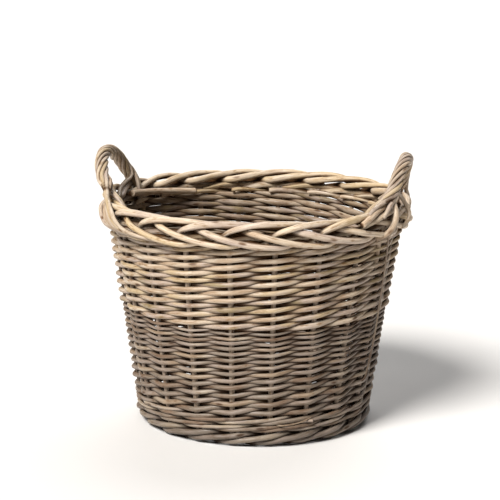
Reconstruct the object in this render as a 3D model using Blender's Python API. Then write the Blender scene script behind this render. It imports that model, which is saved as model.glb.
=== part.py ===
"""Round stake-and-strand willow log basket with two roped side handles.

Metres, +Z up. The basket stands on the plane z = 0 with its axis on the Z axis, and the handles
are centred on -X and +X.
"""

import math

import bmesh
import bpy
from mathutils import Vector

# Wall
STAKE_COUNT = 20
STAKE_PITCH = math.tau / STAKE_COUNT
STAKE_RADIUS = 0.00325
WALL_THICKNESS = 0.020
WALL_LOW_Z, WALL_LOW_RADIUS = 0.020, 0.1750
WALL_HIGH_Z, WALL_HIGH_RADIUS = 0.305, 0.2190
CLEARANCE = 0.0005
CHANNEL_CLEARANCE = 0.0004

# Heights of the woven bands
FOOT_TOP = 0.024
UPSETT_TOP = 0.0465
LOWER_SIDING_TOP = 0.175
UPPER_SIDING_TOP = 0.296
BORDER_TOP = 0.336

# Foot
FOOT_INNER_RADIUS = 0.149
FOOT_OUTER_RADIUS = 0.169
FOOT_ROUNDING = 0.006

# Border
BORDER_OUTER_RADIUS = 0.230
BORDER_HALF_WIDTH = 0.018
BORDER_HALF_HEIGHT = (BORDER_TOP - UPPER_SIDING_TOP - CLEARANCE) / 2
BORDER_PROFILE_SIDES = 12

# Stakes: each starts beside a base stick, turns up in the foot and ends in the border
STAKE_BUTT_RADIUS = 0.118
STAKE_BEND_START = 0.151
STAKE_BEND_STEPS = 4
STAKE_TOP = 0.308

# Base
BASE_LOW, BASE_HIGH = 0.005, 0.021
BASE_MID = (BASE_LOW + BASE_HIGH) / 2
BASE_INNER_RADIUS = 0.040
BASE_OUTER_RADIUS = 0.148
STICK_RADIUS = 0.004
STICK_REACH = 0.144
STICK_SIDE_STEP = 0.0088
STICK_LAYER_OFFSET = 0.0044
STICK_CROSSING_HALF = 0.018
SLIT_STICKS, THROUGH_STICKS = 3, 2
STICK_FAN_ANGLE = math.tau / (2 * (SLIT_STICKS + THROUGH_STICKS))
FIRST_STICK_ANGLE = STAKE_PITCH / 2

# Handles: each centre line is a half circle standing in the border, its legs driven into the wall
HANDLE_ANGLES = {"left": math.pi, "right": 0.0}
HANDLE_HALF_SPREAD = math.radians(21.0)
HANDLE_CROWN_RADIUS = 0.2225
HANDLE_LEG_RADIUS = 0.2155
HANDLE_SPRING_Z = 0.3145
HANDLE_RISE = 0.0770
BOW_RADIUS = 0.0046
BOW_END_Z = 0.245
BOW_STEPS = 24
ROPE_STRANDS = 7
ROPE_REACH = math.radians(65.0)
STRAND_RADIUS = 0.0024
STRAND_LAY_RADIUS = 0.0075
STRAND_TURNS = 2.0
STRAND_STEPS = 28

# Facets
RING_SEGMENTS = 60
ROD_SIDES = 8
STRAND_SIDES = 5
CHANNEL_SIDES = 6
SHARP_ANGLE = math.radians(40)

# Colours (linear)
WEAVER_COLOUR = (0.42, 0.30, 0.18, 1.0)
STAKE_COLOUR = (0.34, 0.27, 0.18, 1.0)
BORDER_COLOUR = (0.47, 0.34, 0.20, 1.0)
STICK_COLOUR = (0.36, 0.24, 0.13, 1.0)
ROPE_COLOUR = (0.44, 0.33, 0.21, 1.0)
WILLOW_ROUGHNESS = 0.55


def clear_scene():
    for obj in list(bpy.data.objects):
        bpy.data.objects.remove(obj)


def willow(name, colour):
    material = bpy.data.materials.new(name)
    material.use_nodes = True
    shader = material.node_tree.nodes["Principled BSDF"]
    shader.inputs["Base Color"].default_value = colour
    shader.inputs["Roughness"].default_value = WILLOW_ROUGHNESS
    shader.inputs["Metallic"].default_value = 0.0
    material.diffuse_color = colour
    return material


def wall_radius(z):
    """Outer radius of the tapering wall at this height."""
    share = (z - WALL_LOW_Z) / (WALL_HIGH_Z - WALL_LOW_Z)
    return WALL_LOW_RADIUS + share * (WALL_HIGH_RADIUS - WALL_LOW_RADIUS)


def stake_radius_at(z):
    """Distance of a stake's centre line from the axis: the middle of the wall."""
    return wall_radius(z) - WALL_THICKNESS / 2


def polar(radius, angle, z):
    return Vector((radius * math.cos(angle), radius * math.sin(angle), z))


def add_object(name, shape, material):
    """Turns a bmesh into an object of the scene, shaded smooth but for its sharp edges."""
    bmesh.ops.recalc_face_normals(shape, faces=shape.faces)
    mesh = bpy.data.meshes.new(name)
    shape.to_mesh(mesh)
    shape.free()
    for polygon in mesh.polygons:
        polygon.use_smooth = True
    mesh.set_sharp_from_angle(angle=SHARP_ANGLE)
    if material:
        mesh.materials.append(material)
    obj = bpy.data.objects.new(name, mesh)
    bpy.context.scene.collection.objects.link(obj)
    return obj


def add_rod(shape, points, radius, sides):
    """Adds one closed round rod along the points, turning with as little twist as it can."""
    tangents = []
    for index in range(len(points)):
        before = points[max(index - 1, 0)]
        after = points[min(index + 1, len(points) - 1)]
        tangents.append((after - before).normalized())
    side = tangents[0].orthogonal().normalized()
    rings = []
    for point, tangent in zip(points, tangents):
        side = (side - tangent * side.dot(tangent)).normalized()
        up = tangent.cross(side)
        ring = []
        for step in range(sides):
            turn = math.tau * step / sides
            offset = side * math.cos(turn) + up * math.sin(turn)
            ring.append(shape.verts.new(point + offset * radius))
        rings.append(ring)
    for near, far in zip(rings, rings[1:]):
        for step in range(sides):
            following = (step + 1) % sides
            shape.faces.new((near[step], near[following], far[following], far[step]))
    shape.faces.new(list(reversed(rings[0])))
    shape.faces.new(rings[-1])


def rod_object(name, points, radius, sides, material):
    shape = bmesh.new()
    add_rod(shape, points, radius, sides)
    return add_object(name, shape, material)


def ring_object(name, profile, material):
    """A closed band: the (radius, z) outline carried once round the Z axis."""
    shape = bmesh.new()
    rings = []
    for segment in range(RING_SEGMENTS):
        angle = math.tau * segment / RING_SEGMENTS
        rings.append([shape.verts.new(polar(radius, angle, z)) for radius, z in profile])
    for segment, near in enumerate(rings):
        far = rings[(segment + 1) % RING_SEGMENTS]
        for corner in range(len(profile)):
            following = (corner + 1) % len(profile)
            shape.faces.new((near[corner], near[following], far[following], far[corner]))
    return add_object(name, shape, material)


def hide_cutter(obj):
    obj.hide_render = True
    obj.display_type = "WIRE"


def cut(target, cutter):
    modifier = target.modifiers.new("channels_" + cutter.name, "BOOLEAN")
    modifier.operation = "DIFFERENCE"
    modifier.solver = "EXACT"
    modifier.object = cutter


def channel_radius(rod_radius):
    """The corner radius of a channel whose flat sides all clear the rod."""
    return (rod_radius + CHANNEL_CLEARANCE) / math.cos(math.pi / CHANNEL_SIDES)


def stake_outline(extra):
    """The centre line of a stake as (radius, z), lengthened by extra at both ends."""
    bend_end_z = FOOT_TOP
    bend_start = Vector((STAKE_BEND_START, BASE_MID))
    bend_corner = Vector((stake_radius_at(bend_end_z) - CLEARANCE, BASE_MID))
    bend_end = Vector((stake_radius_at(bend_end_z), bend_end_z))
    outline = [Vector((STAKE_BUTT_RADIUS - extra, BASE_MID))]
    for step in range(STAKE_BEND_STEPS + 1):
        share = step / STAKE_BEND_STEPS
        first = bend_start.lerp(bend_corner, share)
        second = bend_corner.lerp(bend_end, share)
        outline.append(first.lerp(second, share))
    top = STAKE_TOP + extra
    outline.append(Vector((stake_radius_at(top), top)))
    return outline


def stake_points(angle, extra=0.0):
    return [polar(radius, angle, z) for radius, z in stake_outline(extra)]


def build_stakes(material):
    for index in range(STAKE_COUNT):
        name = f"side_stake_{index + 1:02d}"
        stake = rod_object(name, stake_points(0.0), STAKE_RADIUS, ROD_SIDES, material)
        stake.rotation_euler = (0.0, 0.0, index * STAKE_PITCH)


def build_stake_channels():
    """The cutter for every stake's passage through the woven bands."""
    shape = bmesh.new()
    for index in range(STAKE_COUNT):
        points = stake_points(index * STAKE_PITCH, 2 * CHANNEL_CLEARANCE)
        add_rod(shape, points, channel_radius(STAKE_RADIUS), CHANNEL_SIDES)
    channels = add_object("stake_channels", shape, None)
    hide_cutter(channels)
    return channels


def stick_points(sideways, fan, layer, heading, extra=0.0):
    """One base stick: straight across the crossing, then fanned out to its place at both ends."""
    half = [
        Vector((0.0, sideways, BASE_MID + layer)),
        Vector((STICK_CROSSING_HALF, sideways, BASE_MID + layer)),
        Vector((BASE_INNER_RADIUS * math.cos(fan), BASE_INNER_RADIUS * math.sin(fan), BASE_MID)),
        polar(STICK_REACH + extra, fan, BASE_MID),
    ]
    mirrored = [Vector((-point.x, point.y, point.z)) for point in reversed(half[1:])]
    points = mirrored + half
    cosine, sine = math.cos(heading), math.sin(heading)
    return [
        Vector((cosine * p.x - sine * p.y, sine * p.x + cosine * p.y, p.z)) for p in points
    ]


def stick_layouts():
    """(sideways shift, fan angle, layer height, heading) of each base stick."""
    layouts = []
    groups = (
        (SLIT_STICKS, STICK_LAYER_OFFSET, FIRST_STICK_ANGLE + STICK_FAN_ANGLE),
        (THROUGH_STICKS, -STICK_LAYER_OFFSET, FIRST_STICK_ANGLE + math.pi / 2 + STICK_FAN_ANGLE),
    )
    for count, layer, heading in groups:
        for index in range(count):
            place = index - (count - 1) / 2
            layouts.append((place * STICK_SIDE_STEP, place * STICK_FAN_ANGLE, layer, heading))
    return layouts


def build_base_sticks(material):
    for index, (sideways, fan, layer, heading) in enumerate(stick_layouts()):
        points = stick_points(sideways, fan, layer, heading)
        rod_object(f"base_stick_{index + 1}", points, STICK_RADIUS, ROD_SIDES, material)


def build_stick_channels():
    shape = bmesh.new()
    for sideways, fan, layer, heading in stick_layouts():
        whole = stick_points(sideways, fan, layer, heading, CHANNEL_CLEARANCE)
        middle = len(whole) // 2
        for arm in (whole[:middle], whole[middle + 1 :]):
            add_rod(shape, arm, channel_radius(STICK_RADIUS), CHANNEL_SIDES)
    channels = add_object("base_stick_channels", shape, None)
    hide_cutter(channels)
    return channels


def build_base_weave(material, channels):
    profile = (
        (BASE_INNER_RADIUS, BASE_LOW),
        (BASE_OUTER_RADIUS, BASE_LOW),
        (BASE_OUTER_RADIUS, BASE_HIGH),
        (BASE_INNER_RADIUS, BASE_HIGH),
    )
    weave = ring_object("base_weave", profile, material)
    for cutter in channels:
        cut(weave, cutter)


def build_foot_wale(material, channels):
    """The coil the basket stands on: flat below, rounded at its outer edge."""
    top = FOOT_TOP - CLEARANCE
    profile = (
        (FOOT_INNER_RADIUS, 0.0),
        (FOOT_OUTER_RADIUS - FOOT_ROUNDING, 0.0),
        (FOOT_OUTER_RADIUS - FOOT_ROUNDING / 3, FOOT_ROUNDING / 3),
        (FOOT_OUTER_RADIUS + FOOT_ROUNDING / 2, FOOT_ROUNDING),
        (wall_radius(top) + CLEARANCE, 2 * FOOT_ROUNDING),
        (wall_radius(top), top),
        (FOOT_INNER_RADIUS, top),
    )
    foot = ring_object("foot_wale", profile, material)
    cut(foot, channels)


def build_wall_band(name, low, high, material, channels):
    top = high - CLEARANCE
    profile = (
        (wall_radius(low) - WALL_THICKNESS, low),
        (wall_radius(low), low),
        (wall_radius(top), top),
        (wall_radius(top) - WALL_THICKNESS, top),
    )
    band = ring_object(name, profile, material)
    for cutter in channels:
        cut(band, cutter)


def build_border(material, channels):
    """The thick plaited edge, as one rounded ring."""
    centre_radius = BORDER_OUTER_RADIUS - BORDER_HALF_WIDTH
    centre_z = BORDER_TOP - BORDER_HALF_HEIGHT
    profile = []
    for step in range(BORDER_PROFILE_SIDES):
        turn = math.tau * step / BORDER_PROFILE_SIDES
        radius = centre_radius + BORDER_HALF_WIDTH * math.cos(turn)
        profile.append((radius, centre_z + BORDER_HALF_HEIGHT * math.sin(turn)))
    border = ring_object("border", profile, material)
    for cutter in channels:
        cut(border, cutter)


def arch_point(middle_angle, turn):
    """A point of the handle's centre line: turn is 0 at the crown and a right angle at each leg."""
    radius = HANDLE_LEG_RADIUS + (HANDLE_CROWN_RADIUS - HANDLE_LEG_RADIUS) * math.cos(turn)
    z = HANDLE_SPRING_Z + HANDLE_RISE * math.cos(turn)
    return polar(radius, middle_angle + HANDLE_HALF_SPREAD * math.sin(turn), z)


def bow_points(middle_angle, extra=0.0):
    """The arch with both ends driven down through the border into the upper siding."""
    ends = []
    for side in (-1, 1):
        angle = middle_angle + side * HANDLE_HALF_SPREAD
        heights = (BOW_END_Z - extra, UPPER_SIDING_TOP)
        ends.append([polar(stake_radius_at(z), angle, z) for z in heights])
    arch = [
        arch_point(middle_angle, math.pi * (step / BOW_STEPS - 0.5)) for step in range(BOW_STEPS + 1)
    ]
    return [*ends[0], *arch, *reversed(ends[1])]


def strand_points(middle_angle, start_turn):
    """One strand of the rope, laid in a helix along the arch."""
    outward = polar(1.0, middle_angle, 0.0)
    step_length = 2 * ROPE_REACH / STRAND_STEPS
    points = []
    for step in range(STRAND_STEPS + 1):
        place = step * step_length - ROPE_REACH
        ahead = arch_point(middle_angle, place + step_length / 2)
        behind = arch_point(middle_angle, place - step_length / 2)
        tangent = (ahead - behind).normalized()
        side = (outward - tangent * outward.dot(tangent)).normalized()
        up = tangent.cross(side)
        turn = start_turn + math.tau * STRAND_TURNS * step / STRAND_STEPS
        offset = side * math.cos(turn) + up * math.sin(turn)
        points.append(arch_point(middle_angle, place) + offset * STRAND_LAY_RADIUS)
    return points


def build_handles(material):
    for side, middle_angle in HANDLE_ANGLES.items():
        bow = bow_points(middle_angle)
        rod_object(f"handle_{side}_bow", bow, BOW_RADIUS, ROD_SIDES, material)
        for index in range(ROPE_STRANDS):
            points = strand_points(middle_angle, math.tau * index / ROPE_STRANDS)
            name = f"handle_{side}_strand_{index + 1}"
            rod_object(name, points, STRAND_RADIUS, STRAND_SIDES, material)


def build_bow_channels():
    """The cutter for the bows' legs, long enough to come out above the border."""
    leg_length = BOW_STEPS // 4 + 1
    shape = bmesh.new()
    for middle_angle in HANDLE_ANGLES.values():
        points = bow_points(middle_angle, 2 * CHANNEL_CLEARANCE)
        for leg in (points[:leg_length], points[-leg_length:]):
            add_rod(shape, leg, channel_radius(BOW_RADIUS), CHANNEL_SIDES)
    channels = add_object("bow_channels", shape, None)
    hide_cutter(channels)
    return channels


def build_basket():
    weavers = willow("weavers", WEAVER_COLOUR)
    stake_channels = build_stake_channels()
    stick_channels = build_stick_channels()
    bow_channels = build_bow_channels()

    build_base_sticks(willow("base_sticks", STICK_COLOUR))
    build_base_weave(weavers, [stick_channels, stake_channels])
    build_stakes(willow("stakes", STAKE_COLOUR))
    build_foot_wale(weavers, stake_channels)
    build_wall_band("upsett_wale", FOOT_TOP, UPSETT_TOP, weavers, [stake_channels])
    build_wall_band("lower_siding", UPSETT_TOP, LOWER_SIDING_TOP, weavers, [stake_channels])
    build_wall_band(
        "upper_siding", LOWER_SIDING_TOP, UPPER_SIDING_TOP, weavers, [stake_channels, bow_channels]
    )
    build_border(willow("border", BORDER_COLOUR), [stake_channels, bow_channels])
    build_handles(willow("rope", ROPE_COLOUR))


clear_scene()
build_basket()
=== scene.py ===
import math

import bpy
import numpy as np
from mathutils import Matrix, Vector


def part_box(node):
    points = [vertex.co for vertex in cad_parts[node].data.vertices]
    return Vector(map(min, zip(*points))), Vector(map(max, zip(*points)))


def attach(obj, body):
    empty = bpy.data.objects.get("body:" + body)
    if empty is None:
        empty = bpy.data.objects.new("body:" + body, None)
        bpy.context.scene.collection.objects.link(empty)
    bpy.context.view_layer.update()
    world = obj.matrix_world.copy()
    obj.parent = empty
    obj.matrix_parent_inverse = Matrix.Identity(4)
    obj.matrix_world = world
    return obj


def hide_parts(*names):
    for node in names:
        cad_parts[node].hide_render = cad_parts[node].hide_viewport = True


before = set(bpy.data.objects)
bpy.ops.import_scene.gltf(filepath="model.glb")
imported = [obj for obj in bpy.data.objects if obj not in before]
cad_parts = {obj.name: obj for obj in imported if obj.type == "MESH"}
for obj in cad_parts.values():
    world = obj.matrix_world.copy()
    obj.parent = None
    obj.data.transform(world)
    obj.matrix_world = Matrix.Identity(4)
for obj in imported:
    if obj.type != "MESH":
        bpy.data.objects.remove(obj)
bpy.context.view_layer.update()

# ---------------------------------------------------------------- the frame's own dimensions

boxes = {name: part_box(name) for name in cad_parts}

STAKES = sum(name.startswith("side_stake") for name in boxes)
PITCH = math.tau / STAKES
STAKE_RADIUS = (boxes["side_stake_01"][1].y - boxes["side_stake_01"][0].y) / 2
BASE_MID_Z = (boxes["base_weave"][0].z + boxes["base_weave"][1].z) / 2
BASE_RADIUS = boxes["base_weave"][1].x
FOOT_TOP = boxes["foot_wale"][1].z
UPSETT_TOP = boxes["upsett_wale"][1].z
LOWER_TOP = boxes["lower_siding"][1].z
UPPER_TOP = boxes["upper_siding"][1].z
BORDER_LOW, BORDER_HIGH = boxes["border"][0].z, boxes["border"][1].z
CROWN_HIGH, CROWN_OUT = boxes["handle_right_bow"][1].z, boxes["handle_right_bow"][1].x
WALL_THICKNESS = 0.020
WALL_SLOPE = (boxes["upper_siding"][1].x - boxes["lower_siding"][1].x) / (UPPER_TOP - LOWER_TOP)

rng = np.random.default_rng(20)


def wall_middle(z):
    """Radius of the line that the stakes follow, half way through the wall."""
    outer = boxes["lower_siding"][1].x + WALL_SLOPE * (np.asarray(z) - LOWER_TOP)
    return outer - WALL_THICKNESS / 2


# ---------------------------------------------------------------- rods

def handmade(points):
    """The unevenness that the whole basket shares, so that neighbouring rods move together."""
    x, y, z = points.T
    angle = np.arctan2(y, x)
    height = z / BORDER_HIGH
    grown = np.clip(height, 0.0, 1.0)
    out = grown * (0.0012 * np.sin(2 * angle + 0.6) + 0.0007 * np.sin(5 * angle + 7 * height))
    lift = 0.0009 * np.sin(3 * angle + 5 * height) + 0.0006 * np.sin(7 * angle - 9 * height)
    lift = grown * (1 - 0.5 * grown) * lift
    turn = grown * (0.0012 * np.sin(4 * angle + 3 * height) + 0.0008 * np.sin(9 * angle + 6 * height))
    cosine, sine = np.cos(angle), np.sin(angle)
    return np.column_stack((x + out * cosine - turn * sine, y + out * sine + turn * cosine, z + lift))


def around(stake, radius, z):
    """Points given by place (in stakes, anticlockwise from the right handle), radius and height."""
    angle = np.asarray(stake) * PITCH
    return np.column_stack((radius * np.cos(angle), radius * np.sin(angle), z))


def smooth(values, count):
    """A curve of this many points through the given ones, passing each evenly (Catmull-Rom)."""
    values = np.asarray(values, float)
    padded = np.vstack((2 * values[0] - values[1], values, 2 * values[-1] - values[-2]))
    place = np.linspace(0, len(values) - 1, count)
    index = np.minimum(place.astype(int), len(values) - 2)
    t = (place - index)[:, None]
    a, b, c, d = (padded[index + step] for step in range(4))
    return 0.5 * (2 * b + (c - a) * t + (2 * a - 5 * b + 4 * c - d) * t**2 + (3 * b - a - 3 * c + d) * t**3)


def relax(points, step=0.002, window=9):
    """The same course as an evenly stepped curve whose kinks are rounded off."""
    along = np.concatenate(([0.0], np.cumsum(np.linalg.norm(np.diff(points, axis=0), axis=1))))
    even = np.linspace(0, along[-1], int(along[-1] / step))
    half = window // 2
    columns = []
    for values in points.T:
        column = np.interp(even, along, values)
        for _ in range(2):
            before = 2 * column[0] - column[half:0:-1]
            after = 2 * column[-1] - column[-2 : -half - 2 : -1]
            column = np.convolve(np.concatenate((before, column, after)), np.ones(window) / window, "valid")
        columns.append(column)
    return np.column_stack(columns)


def ease(value):
    """0 up to 0, 1 from 1, and a smooth S between them."""
    value = np.clip(value, 0.0, 1.0)
    return value * value * (3 - 2 * value)


class Rods:
    """Round rods gathered into one mesh. Each vertex knows its rod's tone and its place on the rod."""

    def __init__(self):
        self.points, self.normals, self.faces, self.spaces, self.tones = [], [], [], [], []
        self.count = 0

    def add(self, path, radii, sides=8, tone=None, cut=(True, True), uneven=0.05):
        """One rod. An end that isn't cut square comes to a rounded point."""
        path = handmade(np.asarray(path, float))
        radii = np.broadcast_to(radii, len(path)).astype(float)
        steps = np.linalg.norm(np.diff(path, axis=0), axis=1)
        along = np.concatenate(([0.0], np.cumsum(steps)))
        wobble = rng.uniform(0, math.tau, 3)
        radii = radii * (1 + uneven * (np.sin(along * 55 + wobble[0]) + np.sin(along * 131 + wobble[1])) / 2)
        path, radii, along = self.with_ends(path, radii, along, cut)
        tangents = np.gradient(path, axis=0)
        tangents /= np.linalg.norm(tangents, axis=1)[:, None]
        side = np.cross(tangents[0], (0.31, 0.17, 0.93))
        turns = np.arange(sides) / sides * math.tau + wobble[2]
        flat = 1 + uneven * np.cos(2 * (turns + wobble[1]))
        cosines, sines = (np.cos(turns) * flat)[:, None], (np.sin(turns) * flat)[:, None]
        offsets = np.empty((len(path), sides, 3))
        for index, tangent in enumerate(tangents):
            side = side - tangent * side.dot(tangent)
            side /= np.linalg.norm(side)
            offsets[index] = cosines * side + sines * np.cross(tangent, side)
        rings = path[:, None] + radii[:, None, None] * offsets
        space = np.empty_like(rings)
        space[..., 0] = along[:, None]
        space[..., 1] = radii[:, None] * np.cos(turns)
        space[..., 2] = radii[:, None] * np.sin(turns)
        first = self.count + np.arange(len(path) - 1)[:, None] * sides
        here, following = np.arange(sides), (np.arange(sides) + 1) % sides
        quads = (first + here, first + following, first + following + sides, first + here + sides)
        self.faces.extend(np.stack(quads, -1).reshape(-1, 4).tolist())
        self.faces.append((self.count + here[::-1]).tolist())
        self.faces.append((self.count + (len(path) - 1) * sides + here).tolist())
        self.points.append(rings.reshape(-1, 3))
        self.normals.append(offsets.reshape(-1, 3))
        self.spaces.append(space.reshape(-1, 3) + rng.uniform(-50, 50, 3))
        drawn = rng.random()
        self.tones.append(np.full(len(path) * sides, drawn if tone is None else tone))
        self.count += len(path) * sides

    @staticmethod
    def with_ends(path, radii, along, cut):
        """Adds the small rings that bevel a cut end or round off a tapered one."""
        for end in (0, 1):
            first, second = (path[0], path[1]) if end == 0 else (path[-1], path[-2])
            radius = radii[0] if end == 0 else radii[-1]
            out = (first - second) / np.linalg.norm(first - second)
            stages = ((0.10, 0.86),) if cut[end] else ((0.55, 0.83), (0.90, 0.42))
            extra = np.array([first + out * radius * far for far, _ in stages])
            shrink = np.array([radius * share for _, share in stages])
            reach = np.array([far for far, _ in stages]) * radius
            if end == 0:
                path, radii = np.vstack((extra[::-1], path)), np.concatenate((shrink[::-1], radii))
                along = np.concatenate((along[0] - reach[::-1], along))
            else:
                path, radii = np.vstack((path, extra)), np.concatenate((radii, shrink))
                along = np.concatenate((along, along[-1] + reach))
        return path, radii, along

    def build(self, name, material, nodes, slot, depth):
        """Makes the piece. depth(points, normals) says how deep in the weave each vertex is, from 0 to 1,
        and so how much painted shade its colour gets.
        """
        mesh = bpy.data.meshes.new(name)
        points = np.vstack(self.points)
        mesh.from_pydata(points.tolist(), [], self.faces)
        mesh.update()
        mesh.shade_smooth()
        mesh.set_sharp_from_angle(angle=math.radians(50))
        space = mesh.attributes.new("rod_space", "FLOAT_VECTOR", "POINT")
        space.data.foreach_set("vector", np.vstack(self.spaces).astype(np.float32).ravel())
        crevices = depth(points, np.vstack(self.normals))
        for key, values in (("rod_tone", np.concatenate(self.tones)), ("crevice_shade", crevices)):
            attribute = mesh.attributes.new(key, "FLOAT", "POINT")
            attribute.data.foreach_set("value", np.clip(values, 0, 1).astype(np.float32))
        mesh.materials.append(material)
        piece = bpy.data.objects.new(name, mesh)
        bpy.context.scene.collection.objects.link(piece)
        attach(piece, "root")
        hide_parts(*nodes)


# The least depth that the wall's inner side counts as: painted shade over the whole inside of the wall.
INNER_SHADE = 0.42


def wall_depth(half_thickness):
    """Depth in a woven wall, as seen from the side that each vertex faces, which sets its painted shade. The
    inner side gets more painted shade.
    """

    def depth(points, normals):
        distance = np.hypot(points[:, 0], points[:, 1])
        off = (distance - wall_middle(points[:, 2])) / half_thickness
        facing = (points[:, 0] * normals[:, 0] + points[:, 1] * normals[:, 1]) / distance
        edge = 0.45 * np.abs(off) * (1 - facing**2)
        # Painted shade: darkest where a surface lies deep in the wall or faces into it, a little darker on
        # undersides.
        hidden = np.clip((0.36 - off * facing - edge - 0.10 * normals[:, 2]) / 0.36, 0, 1)
        return hidden + (1 - hidden) * INNER_SHADE * ease(-1.5 * facing)

    return depth


def ring_depth(radius, z, half_width, half_height):
    """Depth in a thick ring of rods round the basket, which sets their painted shade."""

    def depth(points, normals):
        distance = np.hypot(points[:, 0], points[:, 1])
        across = (distance - radius) / half_width
        up = (points[:, 2] - z) / half_height
        facing = (points[:, 0] * normals[:, 0] + points[:, 1] * normals[:, 1]) / distance
        outward = across * facing + up * normals[:, 2]
        return (0.50 - outward - 0.35 * np.hypot(across, up) + 0.12) / 0.55

    return depth


def slab_depth(z, half_thickness):
    """Depth in the flat base, which sets the painted shade between its rods."""

    def depth(points, normals):
        return (0.5 - (points[:, 2] - z) / half_thickness * normals[:, 2]) / 0.8

    return depth


# ---------------------------------------------------------------- willow

def srgb(*levels):
    """A colour given as red, green and blue from 0 to 255 on a screen, as the linear values shaders take."""
    linear = [((level / 255 + 0.055) / 1.055) ** 2.4 if level > 10 else level / 3294.6 for level in levels]
    return (*linear, 1.0)


CREAM = srgb(212, 196, 175)
TAN = srgb(188, 164, 138)
STRAW = srgb(198, 176, 140)
LILAC_GREY = srgb(188, 171, 158)
ASH_GREY = srgb(166, 151, 135)
OLIVE = srgb(160, 142, 106)
RUSSET = srgb(158, 132, 110)

# What a rod's colour is multiplied by in the places named: the first is painted shade deep in the weave;
# knots, fibres and blotches are the wood's own marks.
CREVICE_SHADE = (0.13, 0.068, 0.022, 1.0)
KNOT = (0.30, 0.20, 0.13, 1.0)
FIBRE = (0.60, 0.50, 0.40, 1.0)
BLOTCH = (0.58, 0.46, 0.34, 1.0)


def willow(name, tones, brightness=1.0, roughness=0.46, crevice_shade=1.0):
    """Weathered willow rod: tone by rod and along it, fibres lengthways, knots, and painted shade in the
    crevices.

    The noises are scaled in cycles per metre, first along the rod and then across it.
    """
    material = bpy.data.materials.new(name)
    material.use_nodes = True
    tree = material.node_tree
    shader = tree.nodes["Principled BSDF"]

    def node(kind, **settings):
        made = tree.nodes.new(kind)
        for key, value in settings.items():
            setattr(made, key, value)
        return made

    def link(source, target):
        tree.links.new(source, target)

    def compute(operation, first, second):
        made = node("ShaderNodeMath", operation=operation)
        for socket, value in zip(made.inputs, (first, second)):
            if isinstance(value, (int, float)):
                socket.default_value = value
            else:
                link(value, socket)
        return made.outputs["Value"]

    def rescale(value, low, high, to_low=0.0, to_high=1.0):
        made = node("ShaderNodeMapRange", clamp=True, interpolation_type="SMOOTHSTEP")
        link(value, made.inputs["Value"])
        for key, number in zip(("From Min", "From Max", "To Min", "To Max"), (low, high, to_low, to_high)):
            made.inputs[key].default_value = number
        return made.outputs["Result"]

    space = node("ShaderNodeAttribute", attribute_name="rod_space").outputs["Vector"]
    tone = node("ShaderNodeAttribute", attribute_name="rod_tone").outputs["Fac"]
    deep = node("ShaderNodeAttribute", attribute_name="crevice_shade").outputs["Fac"]

    def stretched(lengthways, across):
        made = node("ShaderNodeVectorMath", operation="MULTIPLY")
        link(space, made.inputs[0])
        made.inputs[1].default_value = (lengthways, across, across)
        return made.outputs["Vector"]

    def noise(lengthways, across, detail=3.0, rough=0.55):
        made = node("ShaderNodeTexNoise")
        made.inputs["Scale"].default_value = 1.0
        made.inputs["Detail"].default_value = detail
        made.inputs["Roughness"].default_value = rough
        link(stretched(lengthways, across), made.inputs["Vector"])
        return made.outputs["Fac"]

    patches = noise(20.0, 70.0, 2.0)
    blotches = noise(70.0, 260.0, 3.0, 0.6)
    fibres = noise(38.0, 900.0, 4.0, 0.65)
    lumps = noise(120.0, 220.0, 2.0)
    cells = node("ShaderNodeTexVoronoi")
    cells.inputs["Scale"].default_value = 1.0
    link(stretched(24.0, 75.0), cells.inputs["Vector"])
    knots = cells.outputs["Distance"]

    drift = compute("MULTIPLY", compute("SUBTRACT", patches, 0.5), 0.9)
    place = compute("PINGPONG", compute("ADD", tone, drift), 1.0)
    ramp = node("ShaderNodeValToRGB")
    elements = ramp.color_ramp.elements
    while len(elements) < len(tones):
        elements.new(0.5)
    for index, colour in enumerate(tones):
        elements[index].position = index / (len(tones) - 1)
        elements[index].color = tuple(channel * brightness for channel in colour[:3]) + (1.0,)
    link(place, ramp.inputs["Fac"])

    def shade(colour, amount, multiplier):
        """Multiplies the colour by multiplier where amount is 1."""
        mix = node("ShaderNodeMix", data_type="RGBA", blend_type="MULTIPLY")
        link(amount, mix.inputs["Factor"])
        link(colour, mix.inputs["A"])
        mix.inputs["B"].default_value = multiplier
        return mix.outputs["Result"]

    colour = shade(ramp.outputs["Color"], rescale(fibres, 0.40, 0.72), FIBRE)
    colour = shade(colour, rescale(blotches, 0.52, 0.74), BLOTCH)
    colour = shade(colour, rescale(knots, 0.20, 0.07), KNOT)
    # Painted shade: the colour turns darker and warmer as far as the vertex's depth in the weave says.
    colour = shade(colour, rescale(deep, 0.0, 1.0, 0.0, crevice_shade), CREVICE_SHADE)
    link(colour, shader.inputs["Base Color"])
    shader.inputs["Specular IOR Level"].default_value = 0.35
    sheen = rescale(fibres, 0.3, 0.7, roughness - 0.08, roughness + 0.20)
    # The painted shade also roughens the crevices, so that they lose their sheen.
    link(compute("MAXIMUM", sheen, rescale(deep, 0.2, 0.8, 0.0, 1.0)), shader.inputs["Roughness"])

    relief = compute("ADD", compute("MULTIPLY", fibres, 0.35), lumps)
    bump = node("ShaderNodeBump")
    bump.inputs["Strength"].default_value = 0.55
    bump.inputs["Distance"].default_value = 0.0009
    link(relief, bump.inputs["Height"])
    link(bump.outputs["Normal"], shader.inputs["Normal"])
    return material


# ---------------------------------------------------------------- stakes and base

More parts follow.
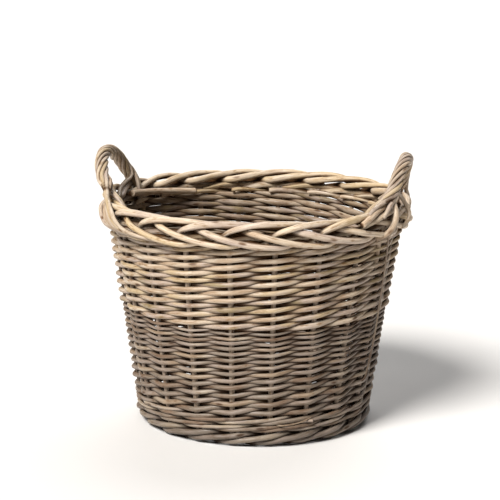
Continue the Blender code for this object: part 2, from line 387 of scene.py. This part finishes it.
def build_stakes(material):
    """Each stake runs out beside the base sticks, turns up in the foot and climbs inside the wall."""
    for index in range(STAKES):
        rise = float(wall_middle(FOOT_TOP))
        corner = (
            (0.118, BASE_MID_Z),
            (0.151, BASE_MID_Z),
            (rise - 0.004, BASE_MID_Z + 0.0025),
            (rise, FOOT_TOP),
        )
        curve = smooth(corner, 22)
        z = np.linspace(FOOT_TOP, BORDER_LOW + 0.012, 40)[1:]
        radius = np.concatenate((curve[:, 0], wall_middle(z)))
        height = np.concatenate((curve[:, 1], z))
        taper = np.linspace(1.34, 1.20, len(height)) * STAKE_RADIUS * rng.uniform(0.92, 1.08)
        lean = rng.normal(0, 0.012) * np.linspace(0, 1, len(height))
        rods = Rods()
        rods.add(around(index + lean, radius, height), taper)
        name = f"side_stake_{index + 1:02d}"
        rods.build("willow_" + name, material, [name], "stakes", wall_depth(0.030))


def build_base(stick_material, weave_material):
    """Three sticks over two, their arms fanned out, and two rods woven round the arms."""
    crossing, fan_start, reach = 0.018, 0.040, 0.144
    layer_offset, side_step, stick_radius = 0.0044, 0.0088, 0.0042
    groups = ((3, layer_offset, 2.5 * PITCH), (2, -layer_offset, 2.5 * PITCH + math.pi / 2))
    number = 0
    for count, layer, heading in groups:
        for index in range(count):
            place = index - (count - 1) / 2
            sideways, fan = place * side_step, place * 2 * PITCH
            half = [(0.0, sideways, BASE_MID_Z + layer), (crossing, sideways, BASE_MID_Z + layer)]
            for radius in (fan_start, (fan_start + reach) / 2, reach):
                half.append((radius * math.cos(fan), radius * math.sin(fan), BASE_MID_Z))
            whole = smooth([(-x, y, z) for x, y, z in half[:0:-1]] + half, 60)
            cosine, sine = math.cos(heading), math.sin(heading)
            x, y, z = whole.T
            rods = Rods()
            rods.add(np.column_stack((cosine * x - sine * y, sine * x + cosine * y, z)), stick_radius, 10)
            number += 1
            name = f"base_stick_{number}"
            rods.build("willow_" + name, stick_material, [name], "base_sticks", slab_depth(BASE_MID_Z, 0.02))

    rods = Rods()
    turns, inner, outer, swing = 14.0, 0.036, BASE_RADIUS - 0.002, 0.0062
    arms = STAKES / 2
    for strand in range(2):
        share = np.linspace(0, 1, int(turns * arms * 8))
        stake = share * turns * STAKES + strand * STAKES / 2
        lift = swing * np.cos(math.pi * (stake / 2 - 0.5) + strand * math.pi * (arms / 2 + 1))
        rods.add(around(stake, inner + (outer - inner) * share, BASE_MID_Z + lift), 0.0024, 6)
    rods.build("woven_base", weave_material, ["base_weave"], "weavers", slab_depth(BASE_MID_Z, 0.009))


# ---------------------------------------------------------------- waling and siding

WALE_RODS = 3
# The stake at which waling starts and ends.
WALE_SEAM = 6


def build_wale(name, node, low, rise, rows, rod_radius, material, inset=0.0, extras=None):
    """Rods worked together: each climbs in front of all the stakes but one, then dives behind that.

    A row starts at the height low and climbs by rise. inset draws in the lowest rods, and extras adds
    loose ends to the same piece.
    """
    rods = Rods()
    count = WALE_RODS
    swing = STAKE_RADIUS + rod_radius
    for rod in range(count):
        stake = np.arange(rod - 1.0, STAKES * rows + rod + 0.5, 0.125)
        stroke = (stake - rod) % count
        from_behind = np.minimum(np.abs(stroke - (count - 1)), np.abs(stroke + 1))
        wave = 1 - 2 * ease(1 - from_behind) ** 0.8
        front = (stroke + 0.5) % count
        share = np.where(front < count - 1, front / (count - 1), count - front)
        climb = np.floor(stake / STAKES) + ease((stake % STAKES - (STAKES - 3)) / 3)
        z = low + rise * np.clip(climb, 0, rows - 1) + rise * (0.06 + 0.88 * share)
        z = np.convolve(np.pad(z, 2, "edge"), (0.1, 0.2, 0.4, 0.2, 0.1), "valid")
        radius = wall_middle(z) + swing * wave - inset * (1 - ease(z / 0.016))
        thin = np.minimum(ease((stake - stake[0]) / 2 + 0.25), ease((stake[-1] - stake) / 2 + 0.3))
        rods.add(around(stake + WALE_SEAM, radius, z), rod_radius * thin * rng.uniform(0.93, 1.08), 10)
    if extras:
        extras(rods)
    rods.build(name, material, [node], "weavers", wall_depth(STAKE_RADIUS + 2 * rod_radius))


def stray_tips(rods):
    """A thin tip that has sprung out of the upsett, and a butt cut off short beside it."""
    out = wall_middle(0.040) + 0.011
    spring = (
        (16.15, out - 0.008, 0.0330),
        (16.35, out, 0.0345),
        (16.75, out + 0.001, 0.0375),
        (17.05, out, 0.0425),
    )
    stake, radius, z = smooth(spring, 24).T
    rods.add(around(stake, radius, z), np.linspace(0.0014, 0.0008, 24), 8, tone=0.32, cut=(True, False))
    butt = ((16.85, out - 0.010, 0.0370), (17.0, out - 0.002, 0.0378), (17.1, out + 0.0025, 0.0385))
    stake, radius, z = smooth(butt, 12).T
    rods.add(around(stake, radius, z), 0.0024, 10, tone=0.32)


# The weavers of one set are shared out among this many pieces.
SIDING_PIECES = 2
# Where a weaver has its points on either side of a stake, in stakes: closest where it bends most.
NEAR_STAKE = (-0.46, -0.30, -0.16, -0.07, -0.02, 0.02, 0.07, 0.16, 0.30, 0.46)
# How sharply a weaver bends over a stake: 0 is a sine wave, 1 a zigzag.
KINK = 0.99
# Its swing as a share of one that just touches the stake, because the rods are pressed together there.
PRESSED = 0.82
# How much thicker it is on the inner side of the wall.
SWOLLEN_INSIDE = 0.34
# The part of a weaver that thins out to its tip, and by how much.
TIP_START, TIP_SHRINK = 0.955, 0.35


def build_siding(name, node, low, high, layers, taper, butt, tip, sag, material):
    """One set of French randing: each rod goes behind one stake, in front of the next, and climbs.

    taper is how much closer the layers lie at the top. The rods thin from butt to tip, and sag is how
    far they dip where they pass a stake.
    """
    half_wall = STAKE_RADIUS + 2 * butt
    near_stake = np.array(NEAR_STAKE)
    passed = (np.arange(2 * layers + 1)[:, None] + near_stake).ravel()
    passed = passed[(passed > -0.3) & (passed < 2 * layers + 0.2)]
    bundles = [Rods() for _ in range(SIDING_PIECES)]
    for start in range(STAKES):
        thick = rng.uniform(0.90, 1.10)
        share = passed / (2 * layers)
        z = low + (high - low) * ((1 + taper) * share - taper * share**2)
        from_stake = np.abs(passed - np.round(passed))
        z = z + sag * (4 * np.hypot(from_stake, 0.06) - 1.2)
        z = z + 0.0005 * np.sin(passed * 1.3 + rng.uniform(0, math.tau)) + rng.normal(0, 0.0002)
        rod_radius = (butt + (tip - butt) * np.clip(share, 0, 1)) * thick
        rod_radius = rod_radius * (1 - TIP_SHRINK * ease((share - TIP_START) / 0.045))
        bow = np.arcsin(KINK * np.cos(math.pi * passed)) / math.asin(KINK)
        radius = wall_middle(z) - PRESSED * (STAKE_RADIUS + rod_radius) * bow
        rod_radius = rod_radius * (1 + SWOLLEN_INSIDE * ease(bow))
        bundles[start % SIDING_PIECES].add(around(start + passed, radius, z), rod_radius, 10)
    for index, rods in enumerate(bundles):
        rods.build(f"{name}_{index + 1}", material, [node], "weavers", wall_depth(half_wall))


# ---------------------------------------------------------------- border

# Points of a border rod and of a stake's bent-down top: place in stakes, radius and height.
BORDER_ROUTE = (
    (-0.34, 0.2085, 0.3030),
    (-0.14, 0.2125, 0.3110),
    (0.04, 0.2175, 0.3190),
    (0.25, 0.2205, 0.3245),
    (0.55, 0.2205, 0.3290),
    (1.00, 0.2165, 0.3300),
    (1.50, 0.2080, 0.3275),
    (2.00, 0.2015, 0.3230),
    (2.25, 0.2075, 0.3200),
    (2.50, 0.2185, 0.3185),
    (2.75, 0.2235, 0.3145),
    (3.00, 0.2245, 0.3100),
    (3.50, 0.2240, 0.3030),
    (4.00, 0.2200, 0.2995),
    (4.40, 0.2130, 0.3030),
    (5.00, 0.1985, 0.3060),
    (5.20, 0.1970, 0.3050),
)
STAKE_TOP_ROUTE = (
    (-0.01, 0.2105, 0.3000),
    (0.06, 0.2115, 0.3070),
    (0.35, 0.2115, 0.3110),
    (0.90, 0.2105, 0.3130),
    (1.40, 0.2090, 0.3120),
    (1.90, 0.2080, 0.3060),
)
# A stout rod laid along the inside of the rim, and one end that stands out of it.
INSIDE_ROD = ((7.2, 0.1965, 0.3070), (8.2, 0.1950, 0.3130), (9.55, 0.1945, 0.3215))
LOOSE_END = ((-1.0, 0.2140, 0.3390), (-1.6, 0.2185, 0.3360), (-2.18, 0.2275, 0.3235))


def build_border(material):
    """A rod beside every stake: up, over the rim, behind two, out, down the front and in again."""
    rods = Rods()
    for start in range(STAKES):
        stake, radius, z = smooth(BORDER_ROUTE, 120).T
        lift = 0.0008 * np.sin(stake * 1.1 + rng.uniform(0, math.tau))
        thick = rng.uniform(0.92, 1.10)
        rod_radius = np.interp(stake, (0.0, 0.5, 2.5, 4.0, 5.2), (0.0042, 0.0048, 0.0047, 0.0043, 0.0034))
        rods.add(around(stake + start, radius, z + lift), rod_radius * thick, 12)
        stake, radius, z = smooth(STAKE_TOP_ROUTE, 30).T
        rods.add(around(stake + start, radius, z), STAKE_RADIUS * 1.45, 8)
    rods.add(around(*smooth(INSIDE_ROD, 40).T), 0.0052, 12, tone=0.1)
    rods.add(around(*smooth(LOOSE_END, 24).T), 0.0042, 12, tone=0.0)
    depth = ring_depth(0.2115, (BORDER_LOW + BORDER_HIGH) / 2, 0.018, 0.021)
    rods.build("plaited_border", material, ["border"], "border", depth)


# ---------------------------------------------------------------- handles

ROPE_STRANDS = sum(name.startswith("handle_left_strand") for name in boxes)
ROPE_TURNS = 2.0
LAY_RADIUS, STRAND_RADIUS, BOW_RADIUS = 0.0074, 0.0030, 0.0048
# The height at which a handle's half ellipse springs, and its legs' distance from the basket's axis.
SPRING_Z, LEG_RADIUS = 0.3145, 0.2155
HANDLES = {
    "left": {"middle": math.pi, "lean": 0.0045, "lift": -0.003, "spread": math.radians(20.5)},
    "right": {"middle": 0.0, "lean": -0.0045, "lift": 0.003, "spread": math.radians(20.0)},
}
# Points below are: angle from the handle's middle (radians), radius and height.
LEANING = ((0.330, 0.2170, 0.3540), (0.385, 0.2190, 0.3500), (0.450, 0.2215, 0.3455))
FLARED = ((0.325, 0.2165, 0.3525), (0.370, 0.2175, 0.3465), (0.415, 0.2190, 0.3420))
UPRIGHT = ((0.320, 0.2155, 0.3450), (0.330, 0.2150, 0.3385), (0.335, 0.2150, 0.3330))
TAILS = {
    "over": (
        (0.590, 0.2275, 0.3380),
        (0.635, 0.2320, 0.3285),
        (0.660, 0.2340, 0.3185),
        (0.700, 0.2335, 0.3100),
        (0.775, 0.2320, 0.3040),
        (0.870, 0.2285, 0.3010),
        (0.980, 0.2215, 0.2985),
        (1.050, 0.2130, 0.2990),
    ),
    "draped": (
        (0.350, 0.2230, 0.3290),
        (0.390, 0.2300, 0.3230),
        (0.430, 0.2330, 0.3140),
        (0.490, 0.2330, 0.3060),
        (0.590, 0.2300, 0.3010),
        (0.720, 0.2250, 0.2990),
        (0.820, 0.2150, 0.2990),
    ),
    "across": (
        (0.315, 0.2200, 0.3430),
        (0.340, 0.2275, 0.3370),
        (0.365, 0.2325, 0.3285),
        (0.393, 0.2335, 0.3155),
        (0.440, 0.2320, 0.3060),
        (0.480, 0.2280, 0.2990),
        (0.520, 0.2200, 0.2965),
    ),
    "back": (
        (0.195, 0.2190, 0.3540),
        (0.150, 0.2220, 0.3430),
        (0.122, 0.2270, 0.3320),
        (0.125, 0.2325, 0.3215),
        (0.170, 0.2330, 0.3130),
        (0.250, 0.2290, 0.3060),
    ),
    "short": (
        (0.400, 0.2200, 0.3420),
        (0.455, 0.2245, 0.3335),
        (0.515, 0.2285, 0.3270),
    ),
    "top": (
        (0.460, 0.2155, 0.3415),
        (0.510, 0.2165, 0.3400),
        (0.560, 0.2185, 0.3370),
        (0.595, 0.2215, 0.3325),
    ),
    "tucked": (
        (0.380, 0.2110, 0.3300),
        (0.430, 0.2080, 0.3280),
        (0.500, 0.2040, 0.3230),
        (0.570, 0.2000, 0.3130),
    ),
    "between": (
        (0.300, 0.2125, 0.3355),
        (0.210, 0.2090, 0.3350),
        (0.100, 0.2065, 0.3335),
        (-0.020, 0.2045, 0.3310),
        (-0.100, 0.2020, 0.3240),
    ),
    "inside": (
        (0.325, 0.2070, 0.3370),
        (0.312, 0.2000, 0.3310),
        (0.297, 0.1965, 0.3230),
        (0.300, 0.1955, 0.3090),
        (0.310, 0.2010, 0.2950),
    ),
    "lost": (
        (0.480, 0.2130, 0.3400),
        (0.530, 0.2040, 0.3330),
        (0.560, 0.1975, 0.3210),
        (0.570, 0.1960, 0.3080),
        (0.590, 0.2010, 0.2950),
    ),
}
# How far apart the strands of one kind lie, in radians round the basket.
SPREADS = {"over": 0.043}
USUAL_SPREAD = 0.023
# How each leg stands, and how its strands end, from the outermost to the innermost.
LEGS = {
    ("left", 1): (LEANING, ("over", "over", "over", "over", "over", "lost", "lost")),
    ("left", -1): (UPRIGHT, ("draped", "draped", "between", "between", "between", "inside", "inside")),
    ("right", -1): (FLARED, ("back", "across", "short", "top", "top", "top", "lost")),
    ("right", 1): (UPRIGHT, ("draped", "draped", "tucked", "tucked", "between", "inside", "inside")),
}
# How many points of the rope's line a strand gives up to come off it smoothly.
LOOSE_POINTS = 4
EARLY_LEAVERS = {"back": 5, "across": 2}
# Some strands are stouter a little before their end: how much, and where in steps from the end.
SWELLS = {"across": 0.70, "short": 0.35}
SWELL_MIDDLE, SWELL_WIDTH = 15, 12
# A slender tip laid down outside the wall under the right handle: stakes, distance past the wall, height.
HANGING_TIP = (
    (-1.20, -0.0040, 0.3060),
    (-1.16, 0.0012, 0.2930),
    (-1.103, 0.0022, 0.2455),
    (-1.061, 0.0020, 0.2002),
    (-1.037, 0.0022, 0.1547),
    (-1.063, 0.0018, 0.1125),
    (-1.112, 0.0014, 0.0860),
    (-1.128, -0.0030, 0.0770),
)


def arch_line(side, count):
    """A handle's centre line: half an ellipse whose two feet stand on the border or flare out along it."""
    shape = HANDLES[side]
    turn = np.radians(np.linspace(0, 56, 12))
    crown_radius = CROWN_OUT - BOW_RADIUS + shape["lean"]
    rise = CROWN_HIGH - BOW_RADIUS + shape["lift"] - SPRING_Z
    radius = LEG_RADIUS + (crown_radius - LEG_RADIUS) * np.cos(turn) ** 0.6
    half = np.column_stack((shape["spread"] * np.sin(turn), radius, SPRING_Z + rise * np.cos(turn)))
    near, far = (np.vstack((half, LEGS[side, sign][0])) for sign in (1, -1))
    whole = smooth(np.vstack((far[:0:-1] * (-1, 1, 1), near)), count)
    return around((shape["middle"] + whole[:, 0]) / PITCH, whole[:, 1], whole[:, 2])


def tail_points(side, sign, kind, place, start):
    """The end of one strand, led off smoothly from start; place spreads the strands of one kind apart."""
    points = np.array(TAILS[kind])
    spread = SPREADS.get(kind, USUAL_SPREAD) * np.clip(0.6 + 0.2 * np.arange(len(points)), 0, 1)
    angle = HANDLES[side]["middle"] + sign * (points[:, 0] + place * spread)
    tail = around(angle / PITCH, points[:, 1], points[:, 2] + rng.uniform(-0.0006, 0.0006))
    hold = 0.6 * 0.5 ** np.arange(len(tail))
    return tail + hold[:, None] * (start - tail[0])


def rope_depth(line):
    """Depth in the rope laid about this line, which sets the painted shade in the grooves between strands.
    Below the border, rods get more painted shade the lower they run and on their undersides.
    """

    def depth(points, normals):
        away = np.linalg.norm(points[:, None, :] - handmade(line)[None], axis=2).min(axis=1)
        inside = 1 - (away / LAY_RADIUS - 0.90) / 0.42
        below = np.clip(1 - points[:, 2] / UPPER_TOP, 0, 1)
        return np.where(points[:, 2] > BORDER_HIGH + 0.01, inside, 0.2 - 0.4 * normals[:, 2] + 0.7 * below)

    return depth


def unit(vectors):
    """The vectors, each made one long."""
    return vectors / np.linalg.norm(vectors, axis=1)[:, None]


def build_bow(side, line, material):
    """The rod inside the rope. Its ends are pushed down into the wall."""
    legs = []
    for sign in (-1, 1):
        z = np.linspace(UPPER_TOP, 0.25, 8)
        legs.append(around(np.full(8, (HANDLES[side]["middle"] + sign * 0.40) / PITCH), wall_middle(z), z))
    rods = Rods()
    rods.add(smooth(np.vstack((legs[0][::-1], line[2:-2:4], legs[1])), 120), BOW_RADIUS, 10)
    rods.build(f"{side}_handle_bow", material, [f"handle_{side}_bow"], "handle_rope", rope_depth(line))


def laid_strands(side, line):
    """The strands twisted round the bow, each with how far round it lies at every point."""
    middle = HANDLES[side]["middle"]
    tangent = unit(np.gradient(line, axis=0))
    outward = np.array((math.cos(middle), math.sin(middle), 0.0))
    first = unit(outward - tangent * (tangent @ outward)[:, None])
    second = np.cross(tangent, first)
    along = np.concatenate(([0.0], np.cumsum(np.linalg.norm(np.diff(line, axis=0), axis=1))))
    share = along / along[-1]
    strands = []
    for number in range(ROPE_STRANDS):
        lay = math.tau * (number / ROPE_STRANDS + ROPE_TURNS * share)
        loose = 1 + 0.12 * np.abs(2 * share - 1) ** 6 + rng.normal(0, 0.04)
        offset = first * np.cos(lay)[:, None] + second * np.sin(lay)[:, None]
        strands.append({"path": line + offset * (LAY_RADIUS * loose)[:, None], "lay": lay, "swell": {}})
    return strands


def lead_off(side, strands):
    """Gives every strand its two tails, the outermost strands getting the kinds named first."""
    for sign, end in ((-1, 0), (1, -1)):
        ranked = sorted(strands, key=lambda strand: -math.cos(strand["lay"][end]))
        ends = LEGS[side, sign][1]
        for kind in dict.fromkeys(ends):
            group = [strand for strand, its_kind in zip(ranked, ends) if its_kind == kind]
            group.sort(key=lambda strand: sign * math.sin(strand["lay"][end]))
            early = LOOSE_POINTS + EARLY_LEAVERS.get(kind, 0)
            for index, strand in enumerate(group):
                path = strand["path"][early:] if end == 0 else strand["path"][: len(strand["path"]) - early]
                tail = tail_points(side, sign, kind, index - (len(group) - 1) / 2, path[end])
                strand["path"] = np.vstack((tail[::-1], path)) if end == 0 else np.vstack((path, tail))
                strand["swell"][end] = SWELLS.get(kind, 0.0)


def build_handle(side, material):
    """The bow, the strands laid round it with their tails, and the loose tip at the right handle."""
    line = arch_line(side, 61)
    build_bow(side, line, material)
    strands = laid_strands(side, line)
    lead_off(side, strands)
    rods = Rods()
    for strand in strands:
        path = relax(strand["path"])
        count = np.arange(len(path))
        thickness = 0.94 + 0.06 * ease(np.minimum(count, count[::-1]) / 20)
        for end, swell in strand["swell"].items():
            from_end = count if end == 0 else count[::-1]
            thickness = thickness * (1 + swell * np.exp(-(((from_end - SWELL_MIDDLE) / SWELL_WIDTH) ** 2)))
        rods.add(path, STRAND_RADIUS * thickness * rng.uniform(0.92, 1.10), 10)
    if side == "right":
        stake, past, z = smooth(HANGING_TIP, 90).T
        path = around(stake, wall_middle(z) + WALL_THICKNESS / 2 + past, z)
        rods.add(path, np.linspace(0.0015, 0.0011, len(path)), 8, tone=0.55, cut=(True, False))
    nodes = [name for name in boxes if name.startswith(f"handle_{side}_strand")]
    rods.build(f"{side}_handle_rope", material, nodes, "handle_rope", rope_depth(line))


# ---------------------------------------------------------------- the basket

UPPER_TONES = (TAN, CREAM, LILAC_GREY, STRAW, CREAM, TAN, LILAC_GREY, OLIVE)
LOWER_TONES = (ASH_GREY, LILAC_GREY, TAN, CREAM, LILAC_GREY, ASH_GREY, RUSSET)
ROPE_TONES = (TAN, CREAM, LILAC_GREY, CREAM, STRAW)
# Painted shade in part: the wall's materials darken towards the bottom, from 0.81 above to 0.55 and 0.56
# lower down and 0.40 at the foot, though the lower wall's greyer tones are its own.
upper_willow = willow("willow_upper", UPPER_TONES, brightness=0.81)
lower_willow = willow("willow_lower", LOWER_TONES, brightness=0.55)
upsett_willow = willow("willow_upsett", LOWER_TONES, brightness=0.56)
foot_willow = willow("willow_foot", LOWER_TONES, brightness=0.40)
stake_willow = willow("willow_stakes", (ASH_GREY, LILAC_GREY, ASH_GREY), brightness=0.86, crevice_shade=0.2)
border_willow = willow("willow_border", (TAN, CREAM, STRAW, CREAM, LILAC_GREY), brightness=0.99)
stick_willow = willow("willow_sticks", (RUSSET, TAN, OLIVE), brightness=0.7, roughness=0.6)

build_stakes(stake_willow)
build_base(stick_willow, lower_willow)
build_wale(
    "foot_coil",
    "foot_wale",
    low=0.0024,
    rise=0.0195,
    rows=1,
    rod_radius=0.0039,
    material=foot_willow,
    inset=0.005,
)
build_wale(
    "upsett_coil",
    "upsett_wale",
    low=FOOT_TOP - 0.0010,
    rise=0.0112,
    rows=2,
    rod_radius=0.0027,
    material=upsett_willow,
    extras=stray_tips,
)
build_siding(
    "lower_randing",
    "lower_siding",
    low=UPSETT_TOP,
    high=LOWER_TOP,
    layers=13,
    taper=0.36,
    butt=0.0036,
    tip=0.0020,
    sag=0.0009,
    material=lower_willow,
)
build_siding(
    "upper_randing",
    "upper_siding",
    low=LOWER_TOP + 0.0005,
    high=UPPER_TOP + 0.0055,
    layers=10.5,
    taper=0.10,
    butt=0.0036,
    tip=0.0033,
    sag=0.0,
    material=upper_willow,
)
build_border(border_willow)
build_handle("left", willow("willow_rope_left", ROPE_TONES, brightness=0.84))
build_handle("right", willow("willow_rope_right", ROPE_TONES, brightness=0.81))

# ---------------------------------------------------------------- floor, light and camera

FLOOR_HALF = 40.0
floor_mesh = bpy.data.meshes.new("floor")
corners = [(x * FLOOR_HALF, y * FLOOR_HALF, 0) for x, y in ((-1, -1), (1, -1), (1, 1), (-1, 1))]
floor_mesh.from_pydata(corners, [], [(0, 1, 2, 3)])
floor = bpy.data.objects.new("floor", floor_mesh)
bpy.context.scene.collection.objects.link(floor)
floor_material = bpy.data.materials.new("pale_floor")
floor_material.use_nodes = True
floor_shader = floor_material.node_tree.nodes["Principled BSDF"]
floor_shader.inputs["Base Color"].default_value = (0.70, 0.69, 0.68, 1)
floor_shader.inputs["Roughness"].default_value = 0.9
floor_mesh.materials.append(floor_material)

world = bpy.data.worlds.new("studio")
world.use_nodes = True
sky = world.node_tree.nodes["Background"]
sky.inputs["Color"].default_value = (1.0, 0.98, 0.96, 1)
sky.inputs["Strength"].default_value = 0.05
bpy.context.scene.world = world
bpy.context.scene.view_settings.view_transform = "Standard"

CAMERA_AZIMUTH = math.radians(10)
CAMERA_DISTANCE, CAMERA_HEIGHT = 2.69, 0.824
CAMERA_PITCH, CAMERA_ROLL, CAMERA_YAW = 0.2103, 0.0114, 0.0029
FOCAL_LENGTH = 134.2


def aim(azimuth, elevation):
    """The direction towards a light; azimuth is measured from the camera, rightwards."""
    angle, rise = CAMERA_AZIMUTH + math.radians(azimuth), math.radians(elevation)
    return Vector((math.sin(angle) * math.cos(rise), -math.cos(angle) * math.cos(rise), math.sin(rise)))


def add_sun(name, azimuth, elevation, softness, strength, colour=(1, 1, 1)):
    """softness is how many degrees wide the light looks from the basket."""
    light = bpy.data.lights.new(name, "SUN")
    light.angle = math.radians(softness)
    light.energy = strength
    light.color = colour
    holder = bpy.data.objects.new(name, light)
    holder.rotation_euler = aim(azimuth, elevation).to_track_quat("Z", "Y").to_euler()
    bpy.context.scene.collection.objects.link(holder)


add_sun("key", azimuth=-35, elevation=46, softness=24, strength=5.4, colour=(1.0, 0.975, 0.94))
add_sun("back", azimuth=165, elevation=50, softness=50, strength=1.6)

camera_data = bpy.data.cameras.new("camera")
camera_data.lens = FOCAL_LENGTH
camera_data.sensor_width = 36
camera = bpy.data.objects.new("camera", camera_data)
camera.location = (
    CAMERA_DISTANCE * math.sin(CAMERA_AZIMUTH),
    -CAMERA_DISTANCE * math.cos(CAMERA_AZIMUTH),
    CAMERA_HEIGHT,
)
heading = CAMERA_AZIMUTH + CAMERA_YAW
level = math.cos(CAMERA_PITCH)
forward = Vector((-math.sin(heading) * level, math.cos(heading) * level, -math.sin(CAMERA_PITCH)))
turned = forward.to_track_quat("-Z", "Y").to_matrix()
right, upward = turned.col[0].copy(), turned.col[1].copy()
turned.col[0] = right * math.cos(CAMERA_ROLL) + upward * math.sin(CAMERA_ROLL)
turned.col[1] = upward * math.cos(CAMERA_ROLL) - right * math.sin(CAMERA_ROLL)
camera.rotation_euler = turned.to_euler()
bpy.context.scene.collection.objects.link(camera)
bpy.context.scene.camera = camera
